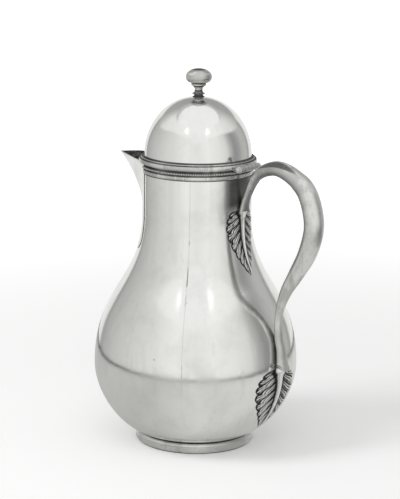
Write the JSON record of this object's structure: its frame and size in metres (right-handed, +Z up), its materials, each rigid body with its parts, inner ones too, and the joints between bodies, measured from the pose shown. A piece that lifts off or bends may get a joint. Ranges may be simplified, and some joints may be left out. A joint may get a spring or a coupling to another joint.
{
  "type": "chocolate pot",
  "caption": "Silver chocolate pot: pear-shaped body on a ring foot, V-shaped beak, looped cast handle with acanthus leaves, hinged domed lid with a knob.",
  "frame": {"origin": "middle of the circle that the foot ring stands on", "axes": "+Z up along the pot's axis, +X towards the handle, beak to -X"},
  "size_m": [0.1729, 0.1406, 0.2599],
  "materials": {
    "silver_body": "raised and planished silver, polished, with fine scratches",
    "silver_wire": "beaded silver wire, dark in the gaps",
    "silver_cast": "cast and chased silver, polished by handling",
    "silver_leaf": "cast silver leaf, chased ribs, dark in the hollows",
    "silver_hinge": "file-finished silver",
    "silver_lid": "raised silver, polished, lightly worn",
    "silver_finial": "turned silver, polished"
  },
  "bodies": {
    "pot": {"body_shell": "silver_body", "foot_ring": "silver_body", "rim_band": "silver_body", "beaded_wire": "silver_wire", "spout": "silver_body", "handle_loop": "silver_cast", "upper_leaf": "silver_leaf", "lower_leaf": "silver_leaf", "leaf_collar": "silver_cast", "hinge_body_plate": "silver_hinge", "hinge_pin": "silver_hinge", "hinge_end_caps": "silver_hinge"},
    "lid": {"lid_flange": "silver_lid", "lid_dome": "silver_lid", "lid_bezel": "silver_lid", "hinge_lid_plate": "silver_hinge", "finial_base": "silver_finial", "finial_stem": "silver_finial", "finial_knob": "silver_finial", "finial_stud": "silver_hinge", "finial_washer": "silver_hinge", "finial_nut": "silver_hinge"}
  },
  "joints": [
    {"name": "lid_hinge", "type": "hinge", "parent": "pot", "child": "lid", "pos_m": [0.042, 0, 0.1965], "axis": [0, 1, 0], "range_deg": [0, 88]}
  ]
}
